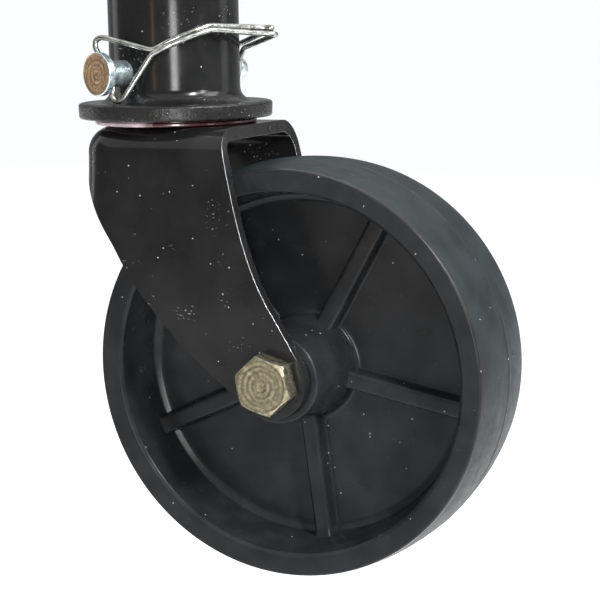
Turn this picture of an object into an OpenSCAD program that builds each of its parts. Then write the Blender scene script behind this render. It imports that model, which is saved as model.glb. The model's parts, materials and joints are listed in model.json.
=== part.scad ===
// Trailer tongue jack: a bolt-on tube jack with a top crank and a removable
// caster wheel that swivels under a flanged socket.
// Origin: centre of the four mounting holes, on the face that bolts to the trailer.
// +Z is up, +Y points into the trailer frame, the caster trails towards +X.

/* [Wheel] */
// Outer diameter of the wheel at its crown
wheel_d = 152.4; // [140:0.1:165]
// Width of the wheel across its side rings
wheel_w = 50.6; // [44:0.1:54]
// Number of ribs on each side of the web
rib_count = 5; // [3:1:8]
// Diameter of the hub's end faces
hub_end_d = 31.8; // [28:0.1:36]
// Length of the hub along the axle
hub_len = 61.4; // [56:0.1:61.4]

/* [Fork] */
// Distance from the swivel axis to the axle
trail = 52.7; // [46:0.1:58]
// Height of the crown's top above the axle
crown_h = 87.8; // [84:0.1:88.5]
// Outside width across the two cheeks at the axle
fork_w = 71.6; // [71.6:0.1:80]
// Outside width across the two cheeks at the crown
crown_w = 66.6; // [64:0.1:71.6]
// Thickness of the pressed sheet
sheet_t = 4.5; // [3:0.1:4.5]
// Radius of the rounded lower end of a cheek
cheek_end_r = 13.3; // [12:0.1:16]

/* [Axle] */
// Diameter of the axle bolt
axle_d = 12.7; // [10:0.1:12.7]
// Width across the flats of its head and nut
hex_af = 19.05; // [17:0.05:20]

/* [Caster socket] */
// Outside diameter of the socket tube
socket_d = 48.2; // [48:0.1:50]
// Diameter of the flange
flange_d = 72; // [66:0.1:80]
// Thickness of the flange
flange_t = 5.9; // [5:0.1:8]
// Height of the flange's top above the axle
flange_h = 95.9; // [95.1:0.1:97]
// Height of the socket tube above the flange
socket_len = 61.2; // [50:0.1:70]
// Radius of the fillet between tube and flange
socket_fillet = 5; // [3:0.5:6]

/* [Locking pin] */
// Diameter of the pin
pin_d = 9.52; // [8:0.01:10]
// Height of the pin's axis above the flange
pin_h = 10.9; // [10.5:0.1:16]
// Turn of the pin about the tube, from straight ahead
pin_turn = -22; // [-30:1:0]
// Diameter of the spring clip's wire
wire_d = 2; // [1.6:0.1:2.2]

/* [Lift] */
// Travel of the extension tube
travel = 254; // [200:1:254]
// Outside diameter of the outer tube
outer_d = 50.8; // [50.8:0.1:54]
// Length of tube that stays inside the outer tube at full travel
overlap = 60; // [60:1:135]
// Reach of the crank from the screw to the grip
crank_reach = 125; // [100:1:150]

/* [Mount] */
// Distance from the mounting face to the tube's axis
axis_off = 58; // [50:1:70]
// Height of the mounting holes above the ground, tube retracted
mount_h = 430; // [400:1:480]
// Hole spacing across the plate
hole_dx = 70; // [60:1:80]
// Hole spacing up the plate
hole_dz = 80; // [70:1:90]
// Diameter of the mounting holes
hole_d = 13; // [11:0.5:14]

/* [Hidden] */
$fn = 96;

paint = "#1c1d1f";
plastic = "#2a2c2e";
zinc = "#b9c2c4";
yellow_zinc = "#b39a62";
bare = "#9a9c9f";

// Clearances
run = 0.05;
slip = 0.1;
gap = 0.4;

// Heights above the ground
axle_z = wheel_d / 2;
crown_z = axle_z + crown_h;
flange_z = axle_z + flange_h;
flange_low = flange_z - flange_t;
pin_z = flange_z + pin_h;
socket_top = flange_z + socket_len;
outer_low = socket_top + 12;
ext_low = flange_z + 0.3;
ext_top = outer_low + travel + overlap;
outer_top = ext_top + 31;

// Tubes and screw
socket_r = socket_d / 2;
socket_in = socket_r - 2.6;
ext_r = socket_in - 0.2;
ext_in = ext_r - 2.6;
outer_r = outer_d / 2;
outer_in = ext_r + gap;
screw_r = 8;
plate_t = 8;
plate_low = outer_top - plate_t;
race_t = 2;
balls_r = 1.5;
balls_pitch = 11.75;
collar_r = 15;
collar_t = 6;
race_low = plate_low - 2 * race_t - 2 * balls_r;
collar_top = race_low - run;
screw_low = pin_z + 14;
hub_low = outer_top + 6;
hub_h = 22;

// Kingpin and swivel race
king_r = 8;
king_head_r = 12.5;
king_head_t = 6;
king_washer_t = 2.4;
king_nut_t = 9.5;
swivel_race_r = 13.2;
swivel_ball_r = 2.3;
swivel_z = (flange_low + crown_z) / 2;
swivel_ball_count = 16;
seal_r = 30;
seal_in = 23;

// Fork
cheek_y = fork_w / 2;
crown_y = crown_w / 2;
rear_y = crown_y + 0.8;
lean_z = 25;
lean_x = 20;
bend_r = 10.5;
side_bend_r = 15;
yoke_rear = -25.2;
rear_open_h = 75;
bend_steps = 9;

// Axle
axle_r = axle_d / 2;
head_t = 7.7;
nut_t = 11;
axle_washer_t = 2.4;
sleeve_r = 9.525;
bushing_r = 12.7;

// Wheel
crown_r = wheel_d / 2;
ring_out_r = crown_r - 3.4;
ring_in_r = crown_r - 10.6;
ring_y = wheel_w / 2;
web_y = 2.4;
rib_y = 8;
rib_w = 6.4;
rib_turn = -11;

// Spring clip, in the pin's own axes: across, along towards the head, up
pin_r = pin_d / 2;
head_r = 7.8;
head_low = 33.5;
head_end = 36.7;
tail_end = -34.4;
cross_s = 31.6;
cross_tilt = 30;
wire_r = wire_d / 2;
hug_r = socket_r + wire_r + 1.1;
pair_out = 0.75;
pair_up = 0.75;
tip_up = 1.03;
prong_s = -26.4;
prong_gap = pin_r + wire_r + 0.3;
leg_out = 5.6;

// Cubic curve from a to d
function curve(a, b, c, d, n) = [
    for (i = [0:n]) let (t = i / n, u = 1 - t)
        u * u * u * a + 3 * u * u * t * b + 3 * u * t * t * c + t * t * t * d
];

// Points of an arc about c
function arc(c, r, a0, a1, n) = [
    for (i = [0:n]) let (a = a0 + (a1 - a0) * i / n) c + r * [cos(a), sin(a)]
];

function unit(v) = v / norm(v);

// Places children that are drawn about the tube's axis, standing on the ground
module at_tube() {
    translate([0, -axis_off, -mount_h]) children();
}

// Places children that are drawn about the axle, with the axle along Z
module at_axle() {
    at_tube() translate([trail, 0, axle_z]) rotate([90, 0, 0]) children();
}

// Places children that are drawn about the pin, with +Z towards its head
module at_pin() {
    at_tube() translate([0, 0, pin_z]) rotate([0, 0, pin_turn]) rotate([90, 0, 0]) children();
}

module ring(r_out, r_in, z0, z1) {
    translate([0, 0, z0]) difference() {
        cylinder(r = r_out, h = z1 - z0);
        translate([0, 0, -1]) cylinder(r = r_in, h = z1 - z0 + 2);
    }
}

// Hexagon with chamfered top corners
module hex_body(af, t) {
    intersection() {
        cylinder(r = af / 2 / cos(30), h = t, $fn = 6);
        rotate_extrude() polygon([
            [0, 0], [af / 2 + 2, 0], [af / 2 + 2, t - 1.1], [af / 2 - 0.25, t], [0, t]
        ]);
    }
}

module balls(r_pitch, r_ball, count, z) {
    for (i = [0:count - 1])
        rotate([0, 0, 360 * i / count]) translate([r_pitch, 0, z]) sphere(r = r_ball, $fn = 32);
}

// ---- mounting bracket and outer tube ----

module mount_plate() {
    w = hole_dx + 32;
    h = hole_dz + 32;
    color(paint) difference() {
        translate([-w / 2, -6, -h / 2]) cube([w, 6, h]);
        for (sx = [-1, 1]) for (sz = [-1, 1])
            translate([sx * hole_dx / 2, 1, sz * hole_dz / 2])
                rotate([90, 0, 0]) cylinder(d = hole_d, h = 8);
    }
}

module bracket_webs() {
    web_t = 6;
    web_x = 20;
    web_h = hole_dz + 14;
    color(paint) for (s = [-1, 1])
        difference() {
            translate([s * web_x - web_t / 2, -axis_off, -web_h / 2])
                cube([web_t, axis_off - 6, web_h]);
            translate([0, -axis_off, -web_h]) cylinder(r = outer_r, h = 2 * web_h);
            for (sz = [-1, 1])
                translate([s * web_x - web_t, -axis_off - 1, sz * web_h / 2])
                    rotate([sz * 30, 0, 0]) translate([0, -10, sz > 0 ? 0 : -30])
                        cube([2 * web_t, 40, 30]);
        }
}

module outer_tube() {
    color(paint) at_tube() difference() {
        ring(outer_r, outer_in, outer_low, outer_top);
        translate([0, 0, outer_top - 60]) rotate([90, 0, 0]) cylinder(r = 3, h = outer_r + 1);
    }
}

module tube_collar() {
    color(plastic) at_tube() difference() {
        translate([0, 0, outer_low]) rotate_extrude() polygon(concat(
            [[outer_r, -3], [outer_r + 2, -3]],
            [[outer_r + 3, -2], [outer_r + 3, 12], [outer_r + 1.6, 14], [outer_r, 14]]
        ));
        translate([0, 0, outer_low - 10]) cylinder(r = outer_r, h = 40);
    }
    color(plastic) at_tube() ring(outer_r + 2, ext_r + gap, outer_low - 3, outer_low);
}

module bearing_plate() {
    color(bare) at_tube() ring(outer_in, screw_r + run, plate_low, outer_top);
}

module thrust_races() {
    color(bare) at_tube() difference() {
        union() {
            ring(collar_r, screw_r + 0.5, race_low, race_low + race_t);
            ring(collar_r, screw_r + 0.5, plate_low - race_t, plate_low);
        }
        translate([0, 0, race_low + race_t + balls_r])
            rotate_extrude() translate([balls_pitch, 0]) circle(r = balls_r + run, $fn = 48);
    }
}

module thrust_balls() {
    color(zinc) at_tube() balls(balls_pitch, balls_r, 20, race_low + race_t + balls_r);
}

module top_cap() {
    color(plastic) at_tube() translate([0, 0, outer_top]) rotate_extrude() polygon([
        [outer_r + 0.1, -10], [outer_r + 2.2, -10], [outer_r + 2.2, 0.5], [outer_r, 3.5],
        [17, 5], [screw_r + 1, 5], [screw_r + 1, 2.5], [16, 2.5], [22, 1], [outer_r + 0.1, 0]
    ]);
}

module grease_fitting() {
    color(zinc) at_tube() translate([0, 0, outer_top - 60]) rotate([90, 0, 0]) rotate_extrude()
        polygon([
            [0, outer_in + 0.4], [2.9, outer_in + 0.4], [2.9, outer_r + 0.02], [4.4, outer_r + 0.02],
            [4.4, outer_r + 3], [2, outer_r + 4], [2, outer_r + 6], [3, outer_r + 7.4],
            [2.2, outer_r + 9.4], [0, outer_r + 9.4]
        ]);
}

// ---- screw and crank ----

module lift_screw() {
    color(bare) at_tube() difference() {
        union() {
            translate([0, 0, screw_low]) cylinder(r = screw_r, h = hub_low + hub_h - 1 - screw_low);
            translate([0, 0, collar_top - collar_t]) cylinder(r = collar_r, h = collar_t);
        }
        translate([-20, 0, hub_low + 10]) rotate([0, 90, 0]) cylinder(r = 2.5, h = 40);
    }
}

module crank_hub() {
    color(paint) at_tube() difference() {
        translate([0, 0, hub_low]) rotate_extrude() polygon(concat(
            [[screw_r, 0], [13, 0]],
            [[14, 1], [14, hub_h - 2], [12.5, hub_h], [screw_r, hub_h]]
        ));
        translate([-20, 0, hub_low + 10]) rotate([0, 90, 0]) cylinder(r = 2.5, h = 40);
    }
}

// Round bar that leaves the hub sideways, turns up and ends as the grip's spindle
module crank_arm() {
    bar_r = 6;
    turn_r = 14;
    bar_z = hub_low + 10;
    color(paint) at_tube() rotate([0, 0, 90]) {
        difference() {
            translate([0, 0, bar_z]) rotate([0, 90, 0]) cylinder(r = bar_r, h = crank_reach - turn_r);
            translate([0, 0, bar_z - 20]) cylinder(r = 14, h = 40);
        }
        translate([crank_reach - turn_r, 0, bar_z + turn_r]) rotate([-90, 0, 0])
            rotate_extrude(angle = 90) translate([turn_r, 0]) circle(r = bar_r, $fn = 48);
        translate([crank_reach, 0, bar_z + turn_r]) cylinder(r = bar_r, h = 12);
        translate([crank_reach, 0, bar_z + turn_r + 12]) cylinder(r = 4.5, h = 92);
    }
}

module crank_pin() {
    color(zinc) at_tube() translate([-15, 0, hub_low + 10]) rotate([0, 90, 0]) ring(2.5, 1.2, 0, 30);
}

module grip_rivet() {
    z = hub_low + 10 + 14 + 12 + 92;
    color(zinc) at_tube() translate([0, crank_reach, z]) rotate_extrude()
        polygon([[0, 0], [8, 0], [8, 1.5], [5, 1.5], [4, 3.6], [0, 4.2]]);
}

module crank_grip() {
    z = hub_low + 10 + 14 + 12.5;
    color(plastic) at_tube() translate([0, crank_reach, z]) rotate_extrude() polygon(concat(
        [[4.5 + run, 0], [9, 0], [12.5, 3], [12.5, 8]],
        curve([12.5, 8], [14.5, 30], [15.5, 60], [13.5, 84], 10),
        [[11, 90], [8.5, 91], [4.5 + run, 91]]
    ));
}

// ---- extension tube and caster socket ----

module pin_bore(r) {
    translate([0, 0, pin_z]) rotate([0, 0, pin_turn]) rotate([90, 0, 0])
        cylinder(r = r, h = 120, center = true);
}

module extension_tube() {
    color(zinc) at_tube() difference() {
        ring(ext_r, ext_in, ext_low, ext_top);
        pin_bore(pin_r + slip);
    }
}

module lift_nut() {
    color(bare) at_tube() ring(ext_in, screw_r + run, ext_top - 34, ext_top - 4);
}

module caster_socket() {
    f = socket_fillet;
    fr = flange_d / 2;
    color(paint) at_tube() difference() {
        rotate_extrude() polygon(concat(
            [[0, flange_low], [fr - 1, flange_low], [fr, flange_low + 1]],
            [[fr, flange_z - 1.4], [fr - 1.4, flange_z]],
            arc([socket_r + f, flange_z + f], f, 270, 180, 8),
            [[socket_r, socket_top], [socket_in, socket_top], [socket_in, flange_z], [0, flange_z]]
        ));
        translate([0, 0, flange_low - 1]) cylinder(r = king_r + 0.02, h = flange_t + 2);
        translate([0, 0, swivel_z]) rotate_extrude()
            translate([swivel_race_r, 0]) circle(r = swivel_ball_r + run, $fn = 48);
        pin_bore(pin_r + slip);
    }
}

module seal_ring() {
    color("#b48aa0") at_tube() ring(seal_r, seal_in, crown_z + run, flange_low);
}

module kingpin() {
    low = crown_z - sheet_t - king_washer_t - king_nut_t - 1.5;
    color(bare) at_tube() {
        translate([0, 0, low]) cylinder(r = king_r, h = flange_z + 1 - low);
        translate([0, 0, flange_z]) cylinder(r = king_head_r, h = king_head_t);
    }
}

module king_washer() {
    top = crown_z - sheet_t - run;
    color(zinc) at_tube() ring(14, king_r + 0.02, top - king_washer_t, top);
}

module king_nut() {
    top = crown_z - sheet_t - run - king_washer_t;
    color(zinc) at_tube() difference() {
        translate([0, 0, top]) mirror([0, 0, 1]) hex_body(24, king_nut_t);
        translate([0, 0, top - 20]) cylinder(r = king_r + 0.02, h = 40);
    }
}

// ---- locking pin and spring clip ----

module pull_pin() {
    color(yellow_zinc) at_pin() difference() {
        rotate_extrude() polygon([
            [0, tail_end], [2.2, tail_end], [3.6, tail_end + 0.8], [4.3, tail_end + 2],
            [pin_r, tail_end + 4], [pin_r, head_low], [head_r - 0.5, head_low],
            [head_r, head_low + 0.5], [head_r, head_end - 0.4], [head_r - 0.4, head_end],
            [0, head_end]
        ]);
        translate([0, 0, cross_s]) rotate([0, 0, cross_tilt]) rotate([90, 0, 0])
            cylinder(r = wire_r + run, h = 30, center = true, $fn = 32);
    }
}

// Point of the wire pair that hugs the socket: turn about the tube, height above the pin
function hug(a, z, side) =
    let (r = hug_r + side * pair_out)
        [r * sin(a - pin_turn), r * cos(a - pin_turn), z - side * pair_up];

// The strap's corners beyond the socket, for one strand of the pair
function strap(side) = [
    hug(10, 7.4, side), hug(22, 10.2, side), hug(34, 12.4, side),
    hug(46, 14.3, side), hug(57, 15.8, side),
    [36.9 + 0.4 * side, -11 + 0.4 * side, 14.4 - side * tip_up],
    [39.4 + 0.2 * side, -12.9, 14.3 - side * tip_up],
    [37.6 + 0.4 * side, -15.1 - 0.9 * side, 13.9 - side * tip_up],
    [8 + 0.7 * side, prong_s + 0.2 - 0.6 * side, 8.6 - side * pair_up]
];

// The strands part at the pin's tail: one passes above it, the other round and below it
prong_u = [cos(cross_tilt), sin(cross_tilt)];
prong_v = prong_gap * [-sin(cross_tilt), cos(cross_tilt)];
function prong_point(q) = [q.x, prong_s, q.y];
prong_above = [for (t = [4, -4]) prong_point(t * prong_u + prong_v)];
prong_below = concat(
    [[7.1, prong_s, 4.2], [6.3, prong_s, 0.6], [5.6, prong_s, -2.9]],
    [for (t = [1.5, -4]) prong_point(t * prong_u - prong_v)]
);

// The legs from the cross hole to the start of the strap
leg_up = [
    [-leg_out * sin(cross_tilt), cross_s, leg_out * cos(cross_tilt)], [-4.4, cross_s, 6.7],
    [-6.6, cross_s, 9.4], [-6.7, cross_s - 0.4, 11.8],
    [-5, cross_s - 1.1, 12.9], [-2.4, cross_s - 2.1, 12.6]
];
leg_down = [
    [leg_out * sin(cross_tilt), cross_s, -leg_out * cos(cross_tilt)], [3.1, cross_s, -6.1],
    [2.6, cross_s, -7.7], [3, cross_s - 0.4, -9.3],
    [4.6, cross_s - 1, -9.9], [6.4, cross_s - 1.8, -8.9]
];

// The whole wire: one prong, round the socket, through the pin's cross hole and back
clip_route = concat(
    [for (i = [1:-1:0]) prong_above[i]],
    [for (i = [8:-1:0]) strap(-1)[i]],
    [for (i = [5:-1:0]) leg_up[i]],
    leg_down,
    strap(1),
    prong_below
);

// Tube swept along a list of points: sections stay square to the route
module swept_wire(route, r, sides) {
    n = len(route);
    tangents = [
        for (i = [0:n - 1]) unit(route[min(i + 1, n - 1)] - route[max(i - 1, 0)])
    ];
    normals = carried(tangents, [cross(tangents[0], [0, 1, 0])], 1);
    rings = [
        for (i = [0:n - 1]) for (k = [0:sides - 1])
            let (a = 360 * k / sides, u = unit(normals[i]), v = cross(tangents[i], u))
                route[i] + r * (cos(a) * u + sin(a) * v)
    ];
    walls = [
        for (i = [0:n - 2]) for (k = [0:sides - 1])
            let (a = i * sides + k, b = i * sides + (k + 1) % sides)
                [a, a + sides, b + sides, b]
    ];
    polyhedron(rings, concat(
        walls,
        [[for (k = [0:sides - 1]) k]],
        [[for (k = [sides - 1:-1:0]) (n - 1) * sides + k]]
    ));
}

// Normals carried along the route without twist
function carried(tangents, found, i) =
    i == len(tangents) ? found :
        let (last = found[i - 1], t = tangents[i], next = last - (last * t) * t)
            carried(tangents, concat(found, [unit(next)]), i + 1);

module pin_clip() {
    color(zinc) at_pin() swept_wire([for (q = clip_route) [q.x, q.z, q.y]], wire_r, 8);
}

// ---- fork ----

// Side outline of the yoke: across from the swivel axis, up from the axle
cheek_front = curve([33.3, crown_h], [37.7, 66], [42.3, 41], [53.5, 24.5], 14);
cheek_rear = concat(
    curve([25.5, 4.9], [14, 14.6], [3.4, 26.6], [-5, 39], 10),
    curve([-9, 46], [-15.2, 55.4], [-20.6, 64], [-24.2, 72], 8)
);
yoke_side = concat(
    [[yoke_rear, crown_h]],
    cheek_front,
    arc([trail, 0], cheek_end_r, 31, -129, 16),
    cheek_rear,
    [[yoke_rear, 76]]
);

// Arch seen from the front: half widths y below and y_top at the crown, top z, bend radius r
function arch(y, y_top, z, r) = concat(
    [[-y, lean_z], [-y, -40], [y, -40], [y, lean_z]],
    arc([y_top - r, z - r], r, 0, 90, bend_steps),
    arc([r - y_top, z - r], r, 90, 180, bend_steps)
);

// Plan outline that narrows to y_back and has rounded rear corners
function plan(x, y, y_back, r) = concat(
    [[lean_x, -y], [90, -y], [90, y], [lean_x, y]],
    arc([x + r, y_back - r], r, 90, 180, bend_steps),
    arc([x + r, r - y_back], r, 180, 270, bend_steps)
);

module yoke_block(inset) {
    y = cheek_y - inset;
    front_view = arch(y, crown_y - inset, crown_h - inset, bend_r - inset);
    top_view = plan(yoke_rear + inset, y, rear_y - inset, side_bend_r - inset);
    intersection() {
        rotate([90, 0, 90]) translate([0, 0, -40]) linear_extrude(140) polygon(front_view);
        translate([0, 0, -50]) linear_extrude(160) polygon(top_view);
    }
}

module fork_yoke() {
    open_y = rear_y - side_bend_r;
    color(paint) at_tube() difference() {
        translate([0, 0, axle_z]) difference() {
            intersection() {
                yoke_block(0);
                rotate([90, 0, 0]) linear_extrude(100, center = true) polygon(yoke_side);
            }
            yoke_block(sheet_t);
            translate([-30, -open_y, -50]) cube([30, 2 * open_y, 50 + rear_open_h]);
        }
        translate([0, 0, crown_z - 10]) cylinder(r = king_r + run, h = 20);
        translate([0, 0, swivel_z]) rotate_extrude()
            translate([swivel_race_r, 0]) circle(r = swivel_ball_r + run, $fn = 48);
        translate([trail, 0, axle_z]) rotate([90, 0, 0])
            cylinder(r = axle_r + slip, h = 100, center = true);
    }
}

module swivel_balls() {
    color(zinc) at_tube() balls(swivel_race_r, swivel_ball_r, swivel_ball_count, swivel_z);
}

// ---- axle ----

module axle_bolt() {
    end_y = cheek_y + axle_washer_t + nut_t + 2;
    color(yellow_zinc) at_axle() {
        translate([0, 0, -end_y]) cylinder(r = axle_r, h = end_y + cheek_y + 1);
        translate([0, 0, cheek_y]) rotate([0, 0, 43]) hex_body(hex_af, head_t);
    }
}

module axle_washer() {
    color(zinc) at_axle() ring(14, axle_r + slip, -cheek_y - axle_washer_t, -cheek_y);
}

module axle_nut() {
    color(yellow_zinc) at_axle() difference() {
        translate([0, 0, -cheek_y - axle_washer_t]) mirror([0, 0, 1]) union() {
            hex_body(hex_af, nut_t - 3);
            translate([0, 0, nut_t - 3.4]) cylinder(r = hex_af / 2 - 1, h = 3.4);
        }
        translate([0, 0, -cheek_y - 30]) cylinder(r = axle_r, h = 40);
    }
}

module axle_sleeve() {
    half = cheek_y - sheet_t;
    color(bare) at_axle() ring(sleeve_r, axle_r + slip, -half, half);
}

// ---- wheel ----

module wheel_profile() {
    he = hub_end_d / 2;
    hy = hub_len / 2;
    function side(s) = [
        for (q = concat(
            curve([crown_r, 0], [crown_r, 8], [crown_r - 1, 16], [ring_out_r + 0.8, ring_y - 1.4], 8),
            [[ring_out_r, ring_y - 0.2], [ring_out_r - 0.8, ring_y]],
            [[ring_in_r + 0.8, ring_y - 1.4], [ring_in_r, ring_y - 2.2]],
            [[ring_in_r - 2.2, web_y + 3], [ring_in_r - 3.4, web_y + 0.6], [ring_in_r - 5, web_y]],
            [[he + 7, web_y], [he + 4.2, web_y + 1.2], [he + 3, web_y + 4], [he + 0.4, hy - 0.8]],
            [[he - 0.4, hy], [bushing_r, hy]]
        )) [q.x, s * q.y]
    ];
    polygon(concat(side(1), [for (i = [len(side(-1)) - 1:-1:1]) side(-1)[i]]));
}

module wheel() {
    color(plastic) at_axle() difference() {
        union() {
            rotate_extrude() wheel_profile();
            for (i = [0:rib_count - 1]) rotate([0, 0, rib_turn + 360 * i / rib_count])
                translate([hub_end_d / 2 - 1, -rib_w / 2, -rib_y])
                    cube([ring_in_r - hub_end_d / 2, rib_w, 2 * rib_y]);
        }
        translate([0, 0, -hub_len]) cylinder(r = bushing_r, h = 2 * hub_len);
    }
}

module hub_bushing() {
    color(bare) at_axle() ring(bushing_r, sleeve_r + run, -hub_len / 2, hub_len / 2);
}

mount_plate();
bracket_webs();
outer_tube();
tube_collar();
bearing_plate();
thrust_races();
thrust_balls();
top_cap();
grease_fitting();
lift_screw();
crank_hub();
crank_arm();
crank_pin();
grip_rivet();
crank_grip();
extension_tube();
lift_nut();
caster_socket();
seal_ring();
kingpin();
king_washer();
king_nut();
pull_pin();
pin_clip();
fork_yoke();
swivel_balls();
axle_bolt();
axle_nut();
axle_washer();
axle_sleeve();
wheel();
hub_bushing();
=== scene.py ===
import json
import math

import bmesh
import bpy
from mathutils import Matrix, Vector


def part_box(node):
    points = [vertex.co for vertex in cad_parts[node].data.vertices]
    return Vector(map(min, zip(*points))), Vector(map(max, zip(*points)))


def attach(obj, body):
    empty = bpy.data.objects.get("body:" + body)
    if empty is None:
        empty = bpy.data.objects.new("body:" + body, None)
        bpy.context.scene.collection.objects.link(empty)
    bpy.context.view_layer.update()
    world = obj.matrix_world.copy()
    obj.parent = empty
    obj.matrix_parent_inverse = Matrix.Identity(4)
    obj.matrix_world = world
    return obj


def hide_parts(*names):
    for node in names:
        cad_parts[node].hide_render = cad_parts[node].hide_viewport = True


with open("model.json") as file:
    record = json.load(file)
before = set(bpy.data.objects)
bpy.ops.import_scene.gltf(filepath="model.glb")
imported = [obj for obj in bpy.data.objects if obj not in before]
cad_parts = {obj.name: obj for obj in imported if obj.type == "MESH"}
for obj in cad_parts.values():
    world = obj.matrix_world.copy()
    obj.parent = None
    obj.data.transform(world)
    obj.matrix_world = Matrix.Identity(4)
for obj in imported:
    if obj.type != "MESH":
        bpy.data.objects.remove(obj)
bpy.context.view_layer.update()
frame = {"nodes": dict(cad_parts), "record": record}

# ---------------------------------------------------------------- named places, metres
MM = 0.001
WHEEL_LOW, WHEEL_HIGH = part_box("wheel")
SOCKET_LOW, SOCKET_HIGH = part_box("caster_socket")
FORK_LOW, FORK_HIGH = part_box("fork_yoke")
SEAL_LOW, SEAL_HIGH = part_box("seal_ring")
BUSHING_LOW, BUSHING_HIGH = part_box("hub_bushing")

AXLE = (WHEEL_LOW + WHEEL_HIGH) / 2
WHEEL_R = (WHEEL_HIGH.z - WHEEL_LOW.z) / 2
HUB_HALF = (WHEEL_HIGH.y - WHEEL_LOW.y) / 2
BUSHING_R = (BUSHING_HIGH.z - BUSHING_LOW.z) / 2
TUBE_X = (SOCKET_LOW.x + SOCKET_HIGH.x) / 2
TUBE_Y = (SOCKET_LOW.y + SOCKET_HIGH.y) / 2
GROUND = WHEEL_LOW.z
JOINTS = {joint["name"]: joint for joint in frame["record"]["behaviour"]["joints"]}
FLOOR = GROUND - JOINTS["tube_extend"]["range_m"][1]
CHEEK_HALF = (FORK_HIGH.y - FORK_LOW.y) / 2
CROWN_TOP = FORK_HIGH.z
TRAIL = AXLE.x - TUBE_X
FLANGE_R = (SOCKET_HIGH.x - SOCKET_LOW.x) / 2


# ---------------------------------------------------------------- shader building

class Shader:
    """A material with one Principled shader, built up from small procedural blocks."""

    def __init__(self, name, **sockets):
        self.material = bpy.data.materials.new(name)
        self.material.use_nodes = True
        self.tree = self.material.node_tree
        self.tree.nodes.clear()
        self.surface = self.node("ShaderNodeBsdfPrincipled")
        output = self.node("ShaderNodeOutputMaterial")
        self.link(self.surface.outputs["BSDF"], output.inputs["Surface"])
        self.place = self.node("ShaderNodeTexCoord").outputs["Object"]
        self.height = None
        for key, value in sockets.items():
            self.surface.inputs[key.replace("_", " ")].default_value = value

    def node(self, kind, **settings):
        """A new node with its settings."""
        made = self.tree.nodes.new(kind)
        for key, value in settings.items():
            setattr(made, key, value)
        return made

    def link(self, start, end):
        self.tree.links.new(start, end)

    def put(self, value, socket):
        """A number, colour or vector is set, and another node's output is linked."""
        if isinstance(value, bpy.types.NodeSocket):
            self.link(value, socket)
        else:
            socket.default_value = value

    def stretched(self, scale):
        """The place with its axes scaled, which squeezes a pattern along them."""
        mapping = self.node("ShaderNodeMapping")
        self.link(self.place, mapping.inputs["Vector"])
        mapping.inputs["Scale"].default_value = scale
        return mapping.outputs["Vector"]

    def noise(self, size, detail=3.0, stretch=None):
        """Noise between 0 and 1 whose features are about size metres across."""
        made = self.node("ShaderNodeTexNoise")
        self.link(self.stretched(stretch) if stretch else self.place, made.inputs["Vector"])
        made.inputs["Scale"].default_value = 1.0 / size
        made.inputs["Detail"].default_value = detail
        return made.outputs["Fac"]

    def ramp(self, value, low, high, start=0.0, end=1.0, held=True):
        """value going from low to high becomes start to end, held outside."""
        made = self.node("ShaderNodeMapRange", clamp=held)
        self.put(value, made.inputs["Value"])
        for key, number in (("From Min", low), ("From Max", high), ("To Min", start), ("To Max", end)):
            made.inputs[key].default_value = number
        return made.outputs["Result"]

    def math(self, operation, a, b=0.0):
        made = self.node("ShaderNodeMath", operation=operation)
        self.put(a, made.inputs[0])
        self.put(b, made.inputs[1])
        return made.outputs[0]

    def mix(self, share, a, b):
        """Colour a where share is 0 and b where it is 1."""
        made = self.node("ShaderNodeMix", data_type="RGBA")
        self.put(share, made.inputs[0])
        self.put((*a, 1.0) if isinstance(a, tuple) else a, made.inputs[6])
        self.put((*b, 1.0) if isinstance(b, tuple) else b, made.inputs[7])
        return made.outputs[2]

    def specks(self, size, share):
        """1 on scattered round specks, 0 elsewhere."""
        made = self.node("ShaderNodeTexVoronoi")
        self.link(self.place, made.inputs["Vector"])
        made.inputs["Scale"].default_value = 0.12 / size
        near = self.ramp(made.outputs["Distance"], 0.09, 0.13, 1.0, 0.0)
        chance = self.node("ShaderNodeSeparateColor")
        self.link(made.outputs["Color"], chance.inputs[0])
        kept = self.math("LESS_THAN", chance.outputs[0], share)
        return self.math("MULTIPLY", near, kept)

    def chips(self, size, patch):
        """1 on small ragged chips that gather in patches."""
        ragged = self.ramp(self.noise(size, 2.0, (1, 1, 1.6)), 0.67, 0.69)
        return self.math("MULTIPLY", ragged, self.ramp(self.noise(patch, 1.0), 0.615, 0.66))

    def from_axis(self, centre, axis):
        """Distance from a line in the frame."""
        away = self.node("ShaderNodeVectorMath", operation="SUBTRACT")
        self.link(self.place, away.inputs[0])
        away.inputs[1].default_value = centre
        crossed = self.node("ShaderNodeVectorMath", operation="CROSS_PRODUCT")
        self.link(away.outputs[0], crossed.inputs[0])
        crossed.inputs[1].default_value = axis
        length = self.node("ShaderNodeVectorMath", operation="LENGTH")
        self.link(crossed.outputs[0], length.inputs[0])
        return length.outputs["Value"]

    def rings(self, centre, axis, pitch):
        """Waves between 0 and 1 round a line, made uneven by noise."""
        wander = self.math("MULTIPLY", self.noise(3 * pitch, 2.0), 1.1 * pitch)
        reach = self.math("ADD", self.from_axis(centre, axis), wander)
        wave = self.math("SINE", self.math("MULTIPLY", reach, 2 * math.pi / pitch))
        return self.ramp(wave, -1.0, 1.0)

    def along(self, axis, start, end, held=True):
        """0 at start and 1 at end along X, Y or Z, held outside or carried on."""
        split = self.node("ShaderNodeSeparateXYZ")
        self.link(self.place, split.inputs[0])
        return self.ramp(split.outputs[axis], start, end, held=held)

    def edges(self, low, high):
        """1 along convex edges, from the shape's own curvature."""
        geometry = self.node("ShaderNodeNewGeometry")
        return self.ramp(geometry.outputs["Pointiness"], low, high)

    def raise_by(self, value, depth):
        """Adds value, times depth in metres, to the bump height."""
        step = self.math("MULTIPLY", value, depth)
        self.height = step if self.height is None else self.math("ADD", self.height, step)

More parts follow.
